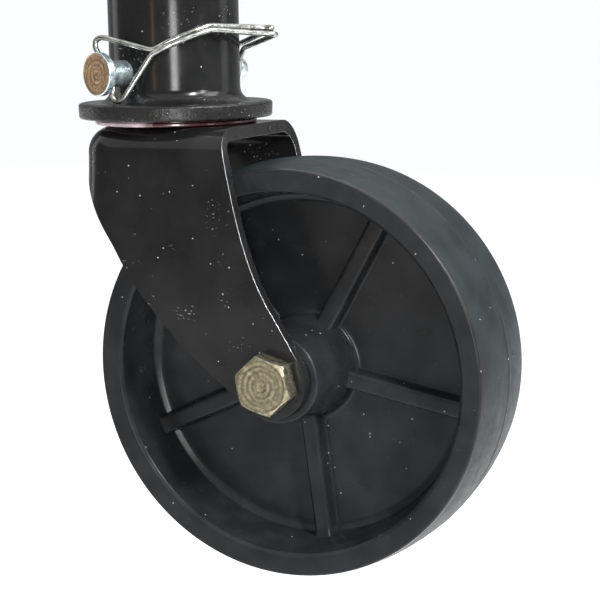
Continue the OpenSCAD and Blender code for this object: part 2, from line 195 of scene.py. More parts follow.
    def colour(self, value):
        self.put((*value, 1.0) if isinstance(value, tuple) else value, self.surface.inputs["Base Color"])

    def rough(self, value):
        self.put(value, self.surface.inputs["Roughness"])

    def done(self):
        """The finished material, with all that was raised as one bump."""
        if self.height is not None:
            bump = self.node("ShaderNodeBump")
            bump.inputs["Strength"].default_value = 1.0
            bump.inputs["Distance"].default_value = 1.0
            self.link(self.height, bump.inputs["Height"])
            self.link(bump.outputs["Normal"], self.surface.inputs["Normal"])
        return self.material


DUST = (0.22, 0.22, 0.21)


def black_paint(name="black_gloss_paint", peel=0.008 * MM, grit=0.0, gloss=0.12):
    """Gloss black paint over steel: orange peel, faint mottling, dust, chips and rubbed edges."""
    s = Shader(name, IOR=1.5, Specular_IOR_Level=0.17, Coat_Weight=0.02, Coat_Roughness=0.05)
    mottling = s.ramp(s.noise(14 * MM), 0.35, 0.65)
    tone = s.mix(mottling, (0.0046, 0.0047, 0.0048), (0.0074, 0.0075, 0.0076))
    worn = s.math("MULTIPLY", s.edges(0.56, 0.62), s.ramp(s.noise(1.6 * MM), 0.45, 0.6))
    tone = s.mix(s.math("MULTIPLY", worn, 0.3), tone, (0.06, 0.06, 0.06))
    tone = s.mix(s.chips(1.1 * MM, 13 * MM), tone, (0.14, 0.14, 0.135))
    s.colour(s.mix(s.specks(0.28 * MM, 0.13), tone, DUST))
    s.rough(s.ramp(s.noise(5 * MM, 5.0), 0.3, 0.7, gloss, gloss + 0.09))
    s.raise_by(s.noise(0.4 * MM, 2.0), 0.6 * peel)
    s.raise_by(s.noise(1.3 * MM, 2.0), peel)
    s.raise_by(s.noise(9 * MM, 1.0), 3 * peel)
    if grit:
        s.raise_by(s.noise(0.9 * MM, 4.0), 1.6 * grit)
        s.raise_by(s.noise(3.2 * MM, 2.0), grit)
    return s.done()


def painted_highlight_edge():
    """Cut edges of the fork: black paint, with a painted highlight in bright steel colour along the
    front of the cheeks.
    """
    s = Shader("fork_edge_painted_highlight", IOR=1.5, Specular_IOR_Level=0.25)
    # painted highlight: the mask keeps only the cheeks' front edges, between the tip and the crown
    forward = s.along(0, TUBE_X, TUBE_X + MM, False)
    upward = s.along(2, AXLE.z, AXLE.z + MM, False)
    at_front = s.ramp(s.math("ADD", forward, s.math("MULTIPLY", 0.45, upward)), 50, 56)
    above_tip = s.along(2, AXLE.z + 8 * MM, AXLE.z + 14 * MM)
    below_crown = s.along(2, AXLE.z + 86 * MM, AXLE.z + 77 * MM)
    bright = s.math("MULTIPLY", s.math("MULTIPLY", at_front, above_tip), below_crown)
    bright = s.math("MULTIPLY", bright, s.ramp(s.noise(2.5 * MM), 0.3, 0.5, 0.7, 1.0))
    # painted highlight: bright, nearly metallic steel colour where the mask is on
    s.colour(s.mix(bright, (0.008, 0.0085, 0.009), (0.85, 0.87, 0.92)))
    s.put(s.ramp(bright, 0, 1, 0, 0.85), s.surface.inputs["Metallic"])
    s.rough(s.ramp(bright, 0, 1, 0.16, 0.38))
    return s.done()


def black_plastic(name, tone, roughness, grain):
    """Moulded black plastic with a fine grain and dust."""
    s = Shader(name, IOR=1.49, Specular_IOR_Level=0.11)
    low = tuple(0.8 * v for v in tone)
    high = tuple(1.25 * v for v in tone)
    base = s.mix(s.ramp(s.noise(11 * MM), 0.35, 0.65), low, high)
    s.colour(s.mix(s.specks(0.28 * MM, 0.06), base, DUST))
    s.rough(s.ramp(s.noise(4 * MM, 4.0), 0.3, 0.7, roughness - 0.05, roughness + 0.07))
    s.raise_by(s.noise(0.5 * MM, 3.0), grain)
    s.raise_by(s.noise(12 * MM, 1.0), 5 * grain)
    return s.done()


def grip_rubber():
    """Dull black rubber with a fine grain and dust."""
    s = Shader("grip_rubber", IOR=1.5, Specular_IOR_Level=0.3, Sheen_Weight=0.08, Sheen_Roughness=0.5)
    base = s.mix(s.ramp(s.noise(8 * MM), 0.35, 0.65), (0.011, 0.011, 0.012), (0.02, 0.02, 0.021))
    s.colour(s.mix(s.specks(0.25 * MM, 0.12), base, DUST))
    s.rough(s.ramp(s.noise(3 * MM, 4.0), 0.3, 0.7, 0.52, 0.68))
    s.raise_by(s.noise(0.45 * MM, 2.0), 0.02 * MM)
    return s.done()


def plated(name, dark, light, roughness, spangle, axis=None, pitch=2 * MM, depth=0.006 * MM,
           lines=None, worn=0.6):
    """Plated or bare steel: crystals, forged rings round an axis or tool lines, and stained patches."""
    s = Shader(name, Metallic=0.9, IOR=2.0)
    cloud = s.ramp(s.noise(spangle, 4.0), 0.32, 0.68)
    base = s.mix(cloud, dark, light)
    if axis:
        wave = s.rings(*axis, pitch)
        base = s.mix(s.math("MULTIPLY", s.ramp(wave, 0.7, 0.1), 0.4), base, tuple(0.4 * v for v in dark))
        s.raise_by(wave, 3 * depth)
    stain = s.ramp(s.noise(3.1 * spangle, 2.0), 0.58, 0.8, 0.0, 0.55)
    base = s.mix(stain, base, tuple(0.5 * v for v in dark))
    rubbed = tuple(min(1.0, 1.3 * v) for v in light)
    s.colour(s.mix(s.math("MULTIPLY", s.edges(0.54, 0.62), worn), base, rubbed))
    s.rough(s.ramp(s.noise(0.6 * spangle, 4.0), 0.3, 0.7, roughness - 0.07, roughness + 0.12))
    s.raise_by(s.noise(0.35 * spangle, 3.0), depth)
    if lines:
        s.raise_by(s.noise(0.4 * MM, 2.0, lines), 2 * depth)
    return s.done()


def lavender_plastic():
    """Pale pink race seal, painted dark red on the caster's trailing side as painted shade."""
    s = Shader("lavender_plastic", IOR=1.45, Coat_Weight=0.3, Coat_Roughness=0.1)
    pale_pink = s.mix(s.ramp(s.noise(7 * MM), 0.4, 0.6), (0.30, 0.22, 0.25), (0.46, 0.37, 0.40))
    # painted shade: the colour turns dark red towards +X, along a wandering border
    wander = s.ramp(s.noise(5 * MM, 3.0), 0.2, 0.8, -0.25, 0.25)
    painted_shade_share = s.math("ADD", s.along(0, TUBE_X - 3 * MM, TUBE_X + 9 * MM), wander)
    s.colour(s.mix(s.ramp(painted_shade_share, 0.25, 0.75), pale_pink, (0.035, 0.006, 0.011)))
    s.rough(s.ramp(s.noise(2 * MM), 0.3, 0.7, 0.2, 0.35))
    s.raise_by(s.noise(1.5 * MM), 0.01 * MM)
    return s.done()


def pale_floor():
    """Matt off-white floor, slightly uneven."""
    s = Shader("pale_floor", IOR=1.4, Specular_IOR_Level=0.1)
    s.colour(s.mix(s.ramp(s.noise(0.4), 0.3, 0.7), (0.86, 0.865, 0.87), (0.9, 0.9, 0.905)))
    s.rough(s.ramp(s.noise(0.02), 0.3, 0.7, 0.7, 0.85))
    return s.done()


# ---------------------------------------------------------------- mesh building

def curve_points(a, b, c, d, steps):
    """Cubic curve from a to d, ends included."""
    a, b, c, d = (Vector(p) for p in (a, b, c, d))
    out = []
    for i in range(steps + 1):
        t = i / steps
        u = 1 - t
        out.append(a * u ** 3 + b * (3 * u * u * t) + c * (3 * u * t * t) + d * t ** 3)
    return out


def arc_points(centre, radius, start, end, steps):
    """Points of an arc, angles in degrees."""
    out = []
    for i in range(steps + 1):
        angle = math.radians(start + (end - start) * i / steps)
        out.append(Vector((centre[0] + radius * math.cos(angle), centre[1] + radius * math.sin(angle))))
    return out


def turned_corner(start, corner, end, steps):
    """Points of the curve that cuts a corner, from start to end."""
    out = []
    for i in range(steps + 1):
        t = i / steps
        out.append(start.lerp(corner, t).lerp(corner.lerp(end, t), t))
    return out


def rounded(corners, steps):
    """A 2-D outline from (x, y, radius) corners, each rounded by its own radius."""
    out = []
    last = len(corners) - 1
    for i, (x, y, radius) in enumerate(corners):
        here = Vector((x, y))
        if radius <= 0 or i in (0, last):
            out.append(here)
            continue
        before = Vector(corners[i - 1][:2]) - here
        after = Vector(corners[i + 1][:2]) - here
        reach = radius / math.tan(before.angle(after) / 2)
        reach = min(reach, 0.48 * before.length, 0.48 * after.length)
        start = here + before.normalized() * reach
        end = here + after.normalized() * reach
        out += turned_corner(start, here, end, steps)
    return out


def resampled(points, count):
    """count points evenly spaced along a polyline."""
    lengths = [0.0]
    for a, b in zip(points, points[1:]):
        lengths.append(lengths[-1] + (b - a).length)
    out = []
    k = 0
    for i in range(count):
        want = lengths[-1] * i / (count - 1)
        while k < len(points) - 2 and lengths[k + 1] < want:
            k += 1
        span = max(lengths[k + 1] - lengths[k], 1e-12)
        out.append(points[k].lerp(points[k + 1], min(1.0, (want - lengths[k]) / span)))
    return out


def add_grid(mesh, rows, wrap=False, face_kind=None):
    """Joins rows of points into quads. wrap closes each row."""
    made = [[mesh.verts.new(p) for p in row] for row in rows]
    width = len(rows[0])
    for i in range(len(rows) - 1):
        for j in range(width if wrap else width - 1):
            k = (j + 1) % width
            quad = (made[i][j], made[i][k], made[i + 1][k], made[i + 1][j])
            face = mesh.faces.new(quad)
            if face_kind:
                face.material_index = face_kind(i, j)
    return made


def add_lathe(mesh, profile, to_world, steps, face_kind=None):
    """Turns (radius, height) points about an axis. to_world places (x, y, height)."""
    rows = []
    for radius, height in profile:
        ring = []
        for j in range(steps):
            angle = 2 * math.pi * j / steps
            ring.append(to_world(radius * math.cos(angle), radius * math.sin(angle), height))
        rows.append(ring)
    add_grid(mesh, rows, wrap=True, face_kind=face_kind)


def upright(x, y, z):
    """About the lift tube's axis; z is a height in the frame."""
    return Vector((TUBE_X + x, TUBE_Y + y, z))


def along_axle(x, y, z):
    """About the axle; z goes towards the bolt's head, y is up."""
    return Vector((AXLE.x + x, AXLE.y - z, AXLE.z + y))


def finished(mesh, name, materials, body, *nodes, slot=None, merge=0.002 * MM):
    """Turns a bmesh into a smooth piece that rides on a body and replaces CAD nodes."""
    bmesh.ops.remove_doubles(mesh, verts=mesh.verts, dist=merge)
    bmesh.ops.dissolve_degenerate(mesh, edges=mesh.edges, dist=merge)
    bmesh.ops.recalc_face_normals(mesh, faces=mesh.faces)
    data = bpy.data.meshes.new(name)
    mesh.to_mesh(data)
    mesh.free()
    data.shade_smooth()
    for material in materials:
        data.materials.append(material)
    piece = bpy.data.objects.new(name, data)
    bpy.context.scene.collection.objects.link(piece)
    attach(piece, body)
    if nodes:
        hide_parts(*nodes)
    return piece


# ---------------------------------------------------------------- wheel

RING_OUT_R = WHEEL_R - 3.4 * MM
RING_IN_R = WHEEL_R - 10.6 * MM
RING_Y = 25.3 * MM
WEB_Y = 2.4 * MM
RIB_TOP = 8 * MM
RIB_HALF = 3.2 * MM
RIB_COUNT = 5
RIB_TURN = -11.0
HUB_R = 15.9 * MM
HUB_FLARE = 7 * MM
RIM_FLARE = 6 * MM


def wheel_side():
    """Half of the wheel's section, from the tread's middle to the bushing: radius, height."""
    m = MM
    tread = curve_points(
        (WHEEL_R - 0.16 * m, 0.5 * m), (WHEEL_R - 0.2 * m, 9 * m),
        (WHEEL_R - 1.0 * m, 17 * m), (RING_OUT_R + 1.1 * m, RING_Y - 1.6 * m), 16,
    )
    corners = [
        (RING_OUT_R + 1.1 * m, RING_Y - 1.6 * m, 0),
        (RING_OUT_R + 0.6 * m, RING_Y, 1.0 * m),
        (RING_IN_R + 1.2 * m, RING_Y - 1.0 * m, 0.5 * m),
        (RING_IN_R, RING_Y - 2.0 * m, 0.9 * m),
        (RING_IN_R - 2.4 * m, WEB_Y + 1.6 * m, 1.2 * m),
        (RING_IN_R - 5 * m, WEB_Y, 3 * m),
        (HUB_R + 3.4 * m, WEB_Y, 3 * m),
        (HUB_R, HUB_HALF, 1.0 * m),
        (BUSHING_R + 0.9 * m, HUB_HALF, 0.3 * m),
        (BUSHING_R, HUB_HALF - 0.6 * m, 0.2 * m),
        (BUSHING_R, 0, 0),
    ]
    parting = [Vector((WHEEL_R, 0)), Vector((WHEEL_R - 0.03 * m, 0.22 * m))]
    return parting + tread[:-1] + rounded(corners, 7)


def add_rib(mesh, turn, side):
    """One rounded rib that runs from the hub to the rim, flared where it meets the web."""
    m = MM
    half = rounded([
        (RIB_HALF + 3.6 * m, WEB_Y - 0.4 * m, 0), (RIB_HALF + 0.5 * m, WEB_Y, 2.6 * m),
        (RIB_HALF, RIB_TOP, 2.3 * m), (0, RIB_TOP, 0),
    ], 8)
    section = half + [Vector((-p.x, p.y)) for p in reversed(half[:-1])]
    start, end = HUB_R - 1.5 * m, RING_IN_R - 0.5 * m
    rows = []
    count = 26
    for i in range(count + 1):
        radius = start + (end - start) * i / count
        near_end = max(0.0, 1 - (radius - start) / HUB_FLARE, 1 - (end - radius) / RIM_FLARE)
        lift = 1 + 0.22 * near_end ** 2
        row = []
        for p in section:
            height = WEB_Y + (p.y - WEB_Y) * lift if p.y > WEB_Y else p.y
            spread = p.x * (1 + 0.15 * near_end ** 2)
            x = radius * math.cos(turn) - spread * math.sin(turn)
            y = radius * math.sin(turn) + spread * math.cos(turn)
            row.append(along_axle(x, y, side * height))
        rows.append(row)
    add_grid(mesh, rows)


def build_wheel(tread_material, side_material):
    """Wheel turned from one closed section, with its ribs on both sides."""
    mesh = bmesh.new()
    half = wheel_side()
    profile = [(p.x, -p.y) for p in reversed(half)] + [(p.x, p.y) for p in half[1:]]
    tread_rows = {
        i for i in range(len(profile) - 1)
        if min(profile[i][0], profile[i + 1][0]) > RING_OUT_R + 0.9 * MM
    }
    profile.append(profile[0])
    add_lathe(mesh, profile, along_axle, 240, lambda i, j: 0 if i in tread_rows else 1)
    finished(mesh, "wheel_moulding", [tread_material, side_material], "wheel", "wheel",
             slot="wheel_plastic")
    ribs = bmesh.new()
    for i in range(RIB_COUNT):
        for side in (-1, 1):
            add_rib(ribs, math.radians(RIB_TURN + 360 * i / RIB_COUNT), side)
    finished(ribs, "wheel_ribs", [side_material], "wheel", slot="wheel_plastic")


# ---------------------------------------------------------------- fork

CROWN_H = CROWN_TOP - AXLE.z
BEND_R = 10.5 * MM
REAR_BEND_R = 9 * MM
REAR_X = FORK_LOW.x - TUBE_X
END_R = FORK_HIGH.x - AXLE.x
SHEET = 4.5 * MM
WALL_LOW = 75 * MM
CROWN_HALF = 33.3 * MM
LEAN_LOW = 25 * MM
FRONT_COLUMNS = 44
REAR_COLUMNS = 12
CHEEK_ROWS = 60
WALL_STEPS = 4
BEND_STEPS = 10
CROWN_STEPS = 6
CROWN_MIDDLE_X = 12 * MM
# the cheek's foot is an arc about the axle, cut into front, bottom and rear at these degrees
FOOT_FRONT, FOOT_BOTTOM, FOOT_REAR, FOOT_END = 31, -14, -84, -129


def mm_points(points):
    """Points in the frame's metres from points in millimetres."""
    return [Vector((x * MM, y * MM)) for x, y in points]


FRONT_CURVE = curve_points(*mm_points([(33.3, CROWN_H / MM), (37.7, 66), (42.3, 41), (53.5, 24.5)]), 60)
REAR_CURVE = (
    curve_points(*mm_points([(25.5, 4.9), (14, 14.6), (3.4, 26.6), (-5, 39)]), 16)
    + curve_points(*mm_points([(-9, 46), (-15.2, 55.4), (-20.6, 64), (-24.2, 72)]), 12)
)


def half_width(z):
    """Outside half width of the fork: the cheeks lean in towards the crown."""
    rise = min(1.0, max(0.0, (z - LEAN_LOW) / (CROWN_H - BEND_R - LEAN_LOW)))
    return CHEEK_HALF - (CHEEK_HALF - CROWN_HALF) * rise ** 1.15


def front_x(z):
    """Where the cheek's front edge is at a height above the axle."""
    for a, b in zip(FRONT_CURVE, FRONT_CURVE[1:]):
        if b.y <= z <= a.y:
            return a.lerp(b, (a.y - z) / (a.y - b.y)).x
    return FRONT_CURVE[0].x


def smooth_step(value, low, high):
    """0 below low and 1 above high, eased at both ends."""
    t = min(1.0, max(0.0, (value - low) / (high - low)))
    return t * t * (3 - 2 * t)


def fold_x(z):
    """Where the cheek starts to roll towards the back: further forward near the crown."""
    return REAR_X + (13.4 + 2.4 * smooth_step(z, 46 * MM, 76 * MM)) * MM


def wrapped(a, z, inset=0.0):
    """Point of the near cheek's outer face, rolled round the back: a runs along the sheet."""
    start = fold_x(z)
    radius = start - REAR_X
    if a >= start:
        return Vector((a, -half_width(z) + inset))
    turn = (start - a) / radius
    if turn <= math.pi / 2:
        reach = radius - inset
        return Vector((start - reach * math.sin(turn), -half_width(z) + radius - reach * math.cos(turn)))
    rest = (start - a) - radius * math.pi / 2
    return Vector((REAR_X + inset, -half_width(z) + radius + rest))


def quarter_turn(z):
    """Where the sheet has turned fully to the back."""
    start = fold_x(z)
    return start - (start - REAR_X) * math.pi / 2


def middle_of_back(z):
    """Sheet coordinate of the middle of the back, where the two halves meet."""
    start = fold_x(z)
    return quarter_turn(z) - (half_width(z) - (start - REAR_X))


def along_sheet(x, z):
    """The sheet coordinate of a point on the side outline."""
    start = fold_x(z)
    if x >= start:
        return x
    radius = start - REAR_X
    return start - radius * math.asin(min(1.0, (start - x) / radius))


def cheek_rows():
    """The flat cheek and its rolled rear edge, from the wall's foot down to the axle."""
    front = [Vector((front_x(WALL_LOW), WALL_LOW))] + [p for p in FRONT_CURVE if p.y < WALL_LOW]
    front += arc_points((TRAIL, 0), END_R, FOOT_FRONT, FOOT_BOTTOM, 14)
    bottom = arc_points((TRAIL, 0), END_R, FOOT_BOTTOM, FOOT_REAR, 30)
    rear = arc_points((TRAIL, 0), END_R, FOOT_REAR, FOOT_END, 10) + REAR_CURVE
    rear.append(Vector((REAR_X, WALL_LOW)))
    rear = [Vector((along_sheet(p.x, p.y), p.y)) for p in rear][::-1]
    front = resampled(front, CHEEK_ROWS)
    rear = resampled(rear, CHEEK_ROWS)
    bottom = resampled(bottom, FRONT_COLUMNS + 1)
    top = resampled([front[0], rear[0]], FRONT_COLUMNS + 1)
    rows = []
    for i in range(CHEEK_ROWS):
        v = i / (CHEEK_ROWS - 1)
        row = []
        for j in range(FRONT_COLUMNS + 1):
            u = j / FRONT_COLUMNS
            straight = top[j] * (1 - v) + bottom[j] * v + front[i] * (1 - u) + rear[i] * u
            corners = (front[0] * (1 - u) * (1 - v) + rear[0] * u * (1 - v)
                       + bottom[0] * (1 - u) * v + bottom[-1] * u * v)
            row.append(straight - corners)
        rows.append(row)
    return rows


def bend_radius(j):
    """Radius between wall and crown: wide along the cheeks, tighter across the back."""
    return BEND_R + (REAR_BEND_R - BEND_R) * smooth_step(j, 0.62 * FRONT_COLUMNS, FRONT_COLUMNS)


def sheet_column(j, z):
    """Sheet coordinate of column j at a height, round to the middle of the back."""
    if j <= FRONT_COLUMNS:
        start, end = front_x(z), quarter_turn(z)
        return start + (end - start) * j / FRONT_COLUMNS
    start, end = quarter_turn(z), middle_of_back(z)
    return start + (end - start) * (j - FRONT_COLUMNS) / REAR_COLUMNS


def crown_rows():
    """Wall above the foot, the bend into the crown and the crown to its middle line."""
    columns = range(FRONT_COLUMNS + REAR_COLUMNS + 1)
    rows = []
    for i in range(WALL_STEPS):
        row = []
        for j in columns:
            z = WALL_LOW + (CROWN_H - bend_radius(j) - WALL_LOW) * i / WALL_STEPS
            p = wrapped(sheet_column(j, z), z)
            row.append(Vector((p.x, p.y, z)))
        rows.append(row)
    for i in range(BEND_STEPS + 1):
        angle = math.pi / 2 * i / BEND_STEPS
        row = []
        for j in columns:
            radius = bend_radius(j)
            z = CROWN_H - radius * (1 - math.sin(angle))
            p = wrapped(sheet_column(j, z), z, radius * (1 - math.cos(angle)))
            row.append(Vector((p.x, p.y, z)))
        rows.append(row)
    rim = rows[-1]
    for i in range(1, CROWN_STEPS + 1):
        row = []
        for p in rim:
            middle = Vector((max(p.x, CROWN_MIDDLE_X), 0, CROWN_H))
            row.append(p.lerp(middle, i / CROWN_STEPS))
        rows.append(row)
    return rows


def under_tube(p, side):
    """A point of the near half, or mirrored to the far half, below the tube's axis."""
    return Vector((TUBE_X + p.x, TUBE_Y + side * p.y, AXLE.z + p.z))


def build_fork(material, edge_highlight_material):
    """The pressed sheet, one half and its mirror image, thickened inwards."""
    mesh = bmesh.new()
    cheek = [[Vector((*wrapped(p.x, p.y), p.y)) for p in row] for row in cheek_rows()]
    for side in (1, -1):
        for rows in (cheek, crown_rows()):
            add_grid(mesh, [[under_tube(p, side) for p in row] for row in rows])
    fork = finished(mesh, "fork_pressing", [material, edge_highlight_material], "fork", "fork_yoke",
                    slot="black_paint", merge=0.02 * MM)
    highest = max(fork.data.polygons, key=lambda f: f.center.z)
    if highest.normal.z < 0:
        fork.data.flip_normals()
    solid = fork.modifiers.new("sheet", "SOLIDIFY")
    solid.thickness = SHEET
    solid.offset = -1
    solid.use_even_offset = True
    bevel = fork.modifiers.new("bevel", "BEVEL")
    bevel.width = 0.9 * MM
    bevel.segments = 4
    bevel.limit_method = "ANGLE"
    bevel.angle_limit = math.radians(50)
    # the bevelled edges take the second material, which carries the painted highlight
    bevel.material = 1
    weighted = fork.modifiers.new("weighted", "WEIGHTED_NORMAL")
    weighted.keep_sharp = True


# ---------------------------------------------------------------- caster socket and seal

SOCKET_R = 24.1 * MM
SOCKET_IN = SOCKET_R - 2.6 * MM
FLANGE_T = 5.9 * MM
FILLET = 5 * MM


def build_socket(paint, cast):
    """Cast flange and fillet, with the smooth tube above them."""
    low, top = SOCKET_LOW.z, SOCKET_HIGH.z
    flange = low + FLANGE_T
    corners = [
        (0, low, 0), (FLANGE_R - 0.2 * MM, low, 1.1 * MM), (FLANGE_R, flange - 0.5 * MM, 1.3 * MM),
        (FLANGE_R - 1.6 * MM, flange, 1.2 * MM),
    ]
    outer = rounded(corners + [(SOCKET_R + FILLET, flange, 0)], 6)
    outer += arc_points((SOCKET_R + FILLET, flange + FILLET), FILLET, 268, 180, 12)
    height = top - flange - FILLET - 0.8 * MM
    straight = [Vector((SOCKET_R, flange + FILLET + height * i / 10)) for i in range(1, 11)]
    rim = rounded([(SOCKET_R, top - 0.8 * MM, 0), (SOCKET_R, top, 0.6 * MM), (SOCKET_IN, top, 0.6 * MM),
                   (SOCKET_IN, flange, 0), (0, flange, 0)], 4)
    profile = [tuple(p) for p in outer + straight + rim]
    rough_rows = {
        i for i, (radius, z) in enumerate(profile)
        if radius > SOCKET_R + 1.2 * MM and z < flange + FILLET
    }
    mesh = bmesh.new()
    add_lathe(mesh, profile, upright, 192, lambda i, j: 1 if i in rough_rows else 0)
    finished(mesh, "socket_casting", [paint, cast], "extension", "caster_socket", slot="black_paint")


def build_seal(material):
    """Thin ring with a stepped rim under the flange."""
    radius = (SEAL_HIGH.x - SEAL_LOW.x) / 2
    low, high = SEAL_LOW.z, SEAL_HIGH.z
    inner = 23 * MM
    profile = rounded([
        (inner, low, 0), (radius, low, 0.6 * MM), (radius, high - 0.9 * MM, 0.3 * MM),
        (radius - 0.6 * MM, high - 0.5 * MM, 0.2 * MM), (radius - 0.6 * MM, high, 0.2 * MM),
        (inner, high, 0), (inner, low, 0),
    ], 4)
    mesh = bmesh.new()
    add_lathe(mesh, [tuple(p) for p in profile], upright, 144)
    finished(mesh, "seal", [material], "extension", "seal_ring", slot="lavender_plastic")


# ---------------------------------------------------------------- locking pin and spring clip

PIN_TURN = math.radians(-22)
PIN_Z = AXLE.z + 106.8 * MM
PIN_R = 4.76 * MM
PIN_HEAD_R = 7.8 * MM
PIN_FACE = 36.7 * MM
PIN_HEAD_LOW = 33.5 * MM
PIN_TAIL = -34.4 * MM
CROSS = 31.6  # millimetres along the pin, where the wire passes through it
WIRE_R = 1.0 * MM


def along_pin(p, z, s):
    """p goes across the pin, z up, s along it towards the head."""
    return Vector((TUBE_X + p * math.cos(PIN_TURN) + s * math.sin(PIN_TURN),
                   TUBE_Y + p * math.sin(PIN_TURN) - s * math.cos(PIN_TURN), PIN_Z + z))


def ringed_face(radius, height, rings, dip, dimple):
    """Profile of a forged face, from its rim to its middle, with shallow turned rings."""
    out = []
    count = 10 * rings
    for i in range(count + 1):
        r = radius * (1 - i / count)
        wave = 0.5 - 0.5 * math.cos(2 * math.pi * rings * i / count)
        hollow = dimple * max(0.0, 1 - (r / (0.22 * radius)) ** 2)
        out.append(Vector((r, height - dip * wave - hollow)))
    return out


def build_pin(shank, face):
    """Pin with a domed tail and a round head whose face carries forged rings."""
    m = MM
    tail = rounded([
        (0, PIN_TAIL, 0), (2.4 * m, PIN_TAIL, 1.0 * m), (4.2 * m, PIN_TAIL + 1.4 * m, 1.6 * m),
        (PIN_R, PIN_TAIL + 4 * m, 1.5 * m), (PIN_R, PIN_HEAD_LOW, 0.3 * m),
        (PIN_HEAD_R - 0.1 * m, PIN_HEAD_LOW, 0.7 * m), (PIN_HEAD_R, PIN_FACE - 0.2 * m, 0.3 * m),
        (PIN_HEAD_R - 0.5 * m, PIN_FACE, 0),
    ], 6)
    profile = tail + ringed_face(PIN_HEAD_R - 0.55 * m, PIN_FACE - 0.02 * m, 3, 0.2 * m, 0.5 * m)
    mesh = bmesh.new()
    first_face = len(tail) - 1
    add_lathe(mesh, [tuple(p) for p in profile], along_pin, 96, lambda i, j: 1 if i >= first_face else 0)
    finished(mesh, "locking_pin", [shank, face], "extension", "pull_pin", slot="yellow_zinc")


# the clip's route is written in millimetres, in the axes of along_pin
HUG_R = 26.2
PAIR = 0.75
TIP_PAIR = 1.03
PRONG_S = -26.4
PRONG_GAP = 6.06
TILT = math.radians(30)


def hug(turn, z, side):
    """Wire point beside the socket, turned about the tube, in the pin's axes."""
    angle = math.radians(turn) - PIN_TURN
    reach = HUG_R + side * PAIR
    return Vector((reach * math.sin(angle), z - side * PAIR, reach * math.cos(angle)))


def strap(side):
    """One strand of the pair: round the socket, out to the finger tab and behind the tube."""
    beyond = [
        (36.9 + 0.4 * side, 14.4 - side * TIP_PAIR, -11 + 0.4 * side),
        (39.4 + 0.2 * side, 14.3 - side * TIP_PAIR, -12.9),
        (37.6 + 0.4 * side, 13.9 - side * TIP_PAIR, -15.1 - 0.9 * side),
        (8 + 0.7 * side, 8.6 - side * PAIR, PRONG_S + 0.2 - 0.6 * side),
    ]
    round_tube = [(10, 7.4), (22, 10.2), (34, 12.4), (46, 14.3), (57, 15.8)]
    return [hug(turn, z, side) for turn, z in round_tube] + [Vector(q) for q in beyond]


def prong(t, side):
    """Point beside the pin's tail, t along the direction in which the clip swings."""
    return Vector((t * math.cos(TILT) + side * PRONG_GAP * math.sin(TILT),
                   t * math.sin(TILT) - side * PRONG_GAP * math.cos(TILT), PRONG_S))


def clip_route():
    """The wire's points in millimetres: across the pin, up and along it."""
    leg_up = [(-2.8, 4.85, CROSS), (-4.4, 6.7, CROSS), (-6.6, 9.4, CROSS), (-6.7, 11.8, CROSS - 0.4),
              (-5, 12.9, CROSS - 1.1), (-2.4, 12.6, CROSS - 2.1)]
    leg_down = [(2.8, -4.85, CROSS), (3.1, -6.1, CROSS), (2.6, -7.7, CROSS), (3, -9.3, CROSS - 0.4),
                (4.6, -9.9, CROSS - 1), (6.4, -8.9, CROSS - 1.8)]
    round_tail = [(7.1, 4.2, PRONG_S), (6.3, 0.6, PRONG_S), (5.6, -2.9, PRONG_S)]
    route = [prong(-4, -1), prong(4, -1)] + strap(-1)[::-1]
    route += [Vector(q) for q in leg_up[::-1] + leg_down]
    route += strap(1) + [Vector(q) for q in round_tail] + [prong(1.5, 1), prong(-4, 1)]
    return route


def softened(route, radius, steps=4):
    """The route with every corner turned on a small bend."""
    out = [route[0]]
    for before, here, after in zip(route, route[1:], route[2:]):
        reach = min(radius, 0.45 * (before - here).length, 0.45 * (after - here).length)
        start = here + (before - here).normalized() * reach
        end = here + (after - here).normalized() * reach
        out += turned_corner(start, here, end, steps)
    return out + [route[-1]]


def add_wire(mesh, route, radius, sides=14):
    """A round wire along a route, its sections carried without twist, with domed ends."""
    tangents = []
    for i in range(len(route)):
        tangents.append((route[min(i + 1, len(route) - 1)] - route[max(i - 1, 0)]).normalized())
    across = tangents[0].orthogonal().normalized()
    turns = [2 * math.pi * k / sides for k in range(sides)]
    rings = []
    for point, tangent in zip(route, tangents):
        across = (across - across.dot(tangent) * tangent).normalized()
        other = tangent.cross(across)
        rings.append([point + radius * (math.cos(a) * across + math.sin(a) * other) for a in turns])
    made = add_grid(mesh, rings, wrap=True)
    for ring, centre, out in ((made[0], route[0], -tangents[0]), (made[-1], route[-1], tangents[-1])):
        small = [mesh.verts.new(centre + 0.6 * (v.co - centre) + 0.45 * radius * out) for v in ring]
        tip = mesh.verts.new(centre + 0.6 * radius * out)
        for k in range(sides):
            n = (k + 1) % sides
            mesh.faces.new((ring[k], ring[n], small[n], small[k]))
            mesh.faces.new((small[k], small[n], tip))


def build_clip(material):
    """One bent spring wire."""
    route = [along_pin(q.x * MM, q.y * MM, q.z * MM) for q in clip_route()]
    mesh = bmesh.new()
    add_wire(mesh, softened(route, 1.5 * MM), WIRE_R)
    finished(mesh, "spring_clip", [material], "clip", "pin_clip", slot="spring_wire")


# ---------------------------------------------------------------- axle bolt and nut

HEX_AF = 19.05 * MM
HEX_TURN = 43.0
AXLE_R = 6.35 * MM
HEAD_T = 7.7 * MM


def hex_reach(angle):
    """Distance from the axis to a hexagon's side, corners at multiples of 60 degrees."""
    off = (angle % (math.pi / 3)) - math.pi / 6
    return HEX_AF / 2 / math.cos(off)


